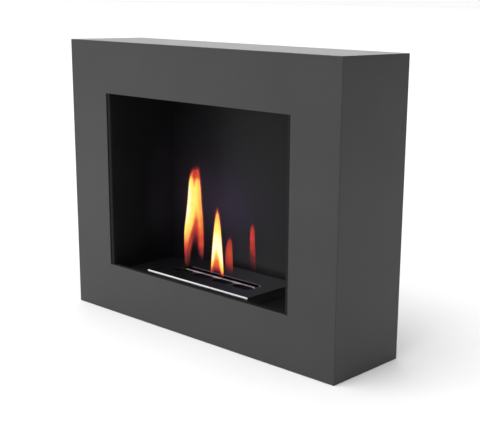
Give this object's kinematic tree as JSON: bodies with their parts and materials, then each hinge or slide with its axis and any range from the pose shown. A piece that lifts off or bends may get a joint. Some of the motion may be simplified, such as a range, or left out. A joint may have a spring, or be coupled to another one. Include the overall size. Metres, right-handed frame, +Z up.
{
  "type": "bioethanol fireplace",
  "caption": "Wall-hung bioethanol fireplace: flat graphite steel casing with a framed black firebox and a lift-out slot burner with a sliding shutter.",
  "frame": {"origin": "middle of the casing's footprint, on its underside", "axes": "+X along the width to the right seen from the front, +Y from the front to the wall, +Z up"},
  "size_m": [0.65, 0.17, 0.51],
  "materials": {
    "graphite_paint": "satin graphite powder coat",
    "back_paint": "matt black powder coat",
    "black_paint": "satin black heat-resistant paint",
    "gloss_black_paint": "gloss black heat-resistant enamel",
    "burner_steel": "satin-polished stainless steel",
    "polished_steel": "polished stainless steel",
    "stainless_steel": "mill-finish stainless steel",
    "zinc_steel": "zinc-plated steel",
    "zinc_fasteners": "bright zinc plating",
    "rubber": "matt black rubber",
    "ceramic_wool": "white ceramic fibre"
  },
  "bodies": {
    "casing": {"front_panel": "graphite_paint", "left_side_panel": "graphite_paint", "right_side_panel": "graphite_paint", "top_panel": "graphite_paint", "bottom_panel": "graphite_paint", "back_panel": "back_paint", "back_panel_screws": "zinc_fasteners", "hanger_cleat": "zinc_steel", "cleat_rivets": "zinc_fasteners", "wall_bumpers": "rubber", "bumper_screws": "zinc_fasteners", "firebox_left_wall": "black_paint", "firebox_right_wall": "black_paint", "firebox_back_wall": "gloss_black_paint", "firebox_floor": "black_paint", "firebox_ceiling": "black_paint", "firebox_support_left": "zinc_steel", "firebox_support_right": "zinc_steel", "flange_studs": "zinc_fasteners", "flange_nuts": "zinc_fasteners", "spill_tray": "zinc_steel"},
    "burner": {"burner_plate": "burner_steel", "burner_trim": "polished_steel", "slot_bar_front": "polished_steel", "slot_bar_rear": "polished_steel", "burner_tank": "stainless_steel", "ceramic_wool": "ceramic_wool", "wool_retainer": "stainless_steel", "shutter_guide_left": "stainless_steel", "shutter_guide_right": "stainless_steel"},
    "shutter": {"shutter": "black_paint"},
    "wall_rail": {"wall_rail": "zinc_steel"}
  },
  "joints": [
    {"name": "burner_lift", "type": "slide", "parent": "casing", "child": "burner", "axis": [0, 0, 1], "range_m": [0, 0.08]},
    {"name": "shutter_slide", "type": "slide", "parent": "burner", "child": "shutter", "axis": [0, 1, 0], "range_m": [0, 0.017]},
    {"name": "wall_rail_unhook", "type": "slide", "parent": "casing", "child": "wall_rail", "axis": [0, 0.7071, -0.7071], "range_m": [0, 0.04]}
  ]
}
